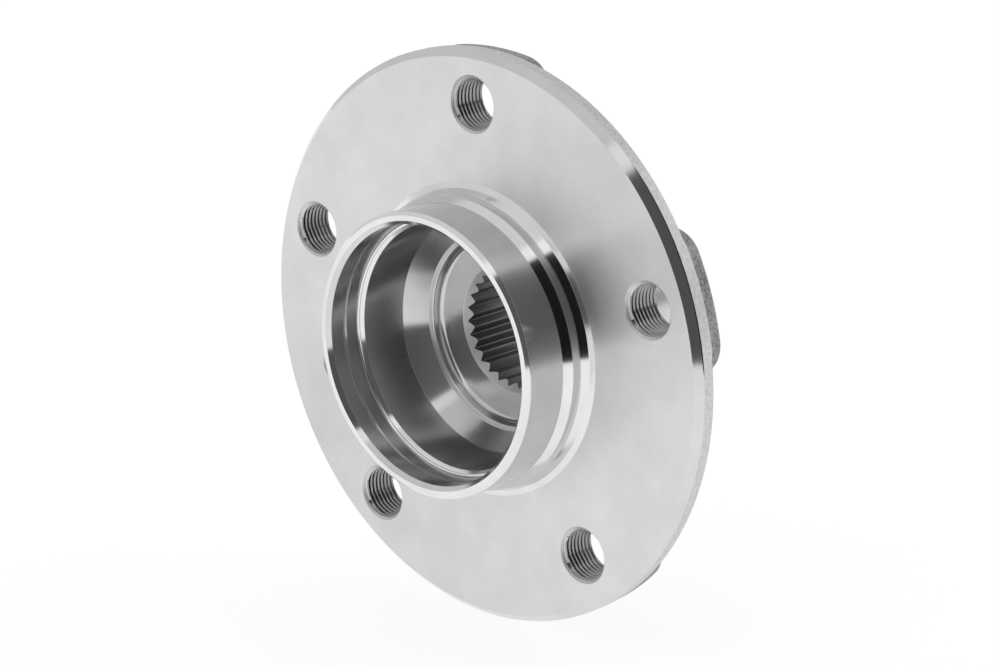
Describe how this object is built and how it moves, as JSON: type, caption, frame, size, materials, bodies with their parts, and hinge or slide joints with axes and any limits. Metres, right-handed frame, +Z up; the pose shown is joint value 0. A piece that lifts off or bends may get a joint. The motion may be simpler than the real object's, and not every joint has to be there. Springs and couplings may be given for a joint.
{
  "type": "wheel hub",
  "caption": "Driven wheel hub: round bolt flange with threaded lobes, stepped centring spigot, splined bore and a sealed double-row ball bearing on its barrel.",
  "frame": {"origin": "on the hub's axis, in the plane of the wheel seat (the flange's outboard face)", "axes": "Y is the hub's axis: -Y points outboard, to the wheel, +Y inboard, to the car; +Z is up and X completes the frame; the hub spins about +Y"},
  "size_m": [0.1466, 0.0654, 0.1466],
  "materials": {
    "hub_steel": "turned bright, as forged on the back",
    "ring_steel": "ground",
    "ball_steel": "polished",
    "clip_steel": "spring steel, blackened",
    "cage_polymer": "moulded glass-filled polyamide",
    "seal_sheet": "pressed sheet, zinc plated",
    "seal_rubber": "moulded"
  },
  "bodies": {
    "bearing_outer": {"bearing_outer_ring": "ring_steel", "seal_carrier_outboard": "seal_sheet", "seal_carrier_inboard": "seal_sheet", "seal_lip_outboard": "seal_rubber", "seal_lip_inboard": "seal_rubber"},
    "hub": {"hub_flange": "hub_steel", "inner_ring_outboard": "ring_steel", "inner_ring_inboard": "ring_steel", "inner_ring_clip": "clip_steel", "slinger_outboard": "seal_sheet", "slinger_inboard": "seal_sheet"},
    "outboard_cage": {"cage_outboard": "cage_polymer", "ball_outboard_1": "ball_steel", "ball_outboard_2": "ball_steel", "ball_outboard_3": "ball_steel", "ball_outboard_4": "ball_steel", "ball_outboard_5": "ball_steel", "ball_outboard_6": "ball_steel", "ball_outboard_7": "ball_steel", "ball_outboard_8": "ball_steel", "ball_outboard_9": "ball_steel", "ball_outboard_10": "ball_steel", "ball_outboard_11": "ball_steel", "ball_outboard_12": "ball_steel", "ball_outboard_13": "ball_steel", "ball_outboard_14": "ball_steel", "ball_outboard_15": "ball_steel"},
    "inboard_cage": {"cage_inboard": "cage_polymer", "ball_inboard_1": "ball_steel", "ball_inboard_2": "ball_steel", "ball_inboard_3": "ball_steel", "ball_inboard_4": "ball_steel", "ball_inboard_5": "ball_steel", "ball_inboard_6": "ball_steel", "ball_inboard_7": "ball_steel", "ball_inboard_8": "ball_steel", "ball_inboard_9": "ball_steel", "ball_inboard_10": "ball_steel", "ball_inboard_11": "ball_steel", "ball_inboard_12": "ball_steel", "ball_inboard_13": "ball_steel", "ball_inboard_14": "ball_steel", "ball_inboard_15": "ball_steel"}
  },
  "joints": [
    {"name": "hub_spin", "type": "hinge", "parent": "bearing_outer", "child": "hub", "pos_m": [0, 0.031, 0], "axis": [0, 1, 0], "continuous": true},
    {"name": "outboard_cage_spin", "type": "hinge", "parent": "bearing_outer", "child": "outboard_cage", "pos_m": [0, 0.0238, 0], "axis": [0, 1, 0], "continuous": true},
    {"name": "inboard_cage_spin", "type": "hinge", "parent": "bearing_outer", "child": "inboard_cage", "pos_m": [0, 0.0382, 0], "axis": [0, 1, 0], "continuous": true}
  ],
  "couplings": [
    {"joint": "outboard_cage_spin", "follows": "hub_spin", "ratio": 0.4421},
    {"joint": "inboard_cage_spin", "follows": "hub_spin", "ratio": 0.4421}
  ]
}
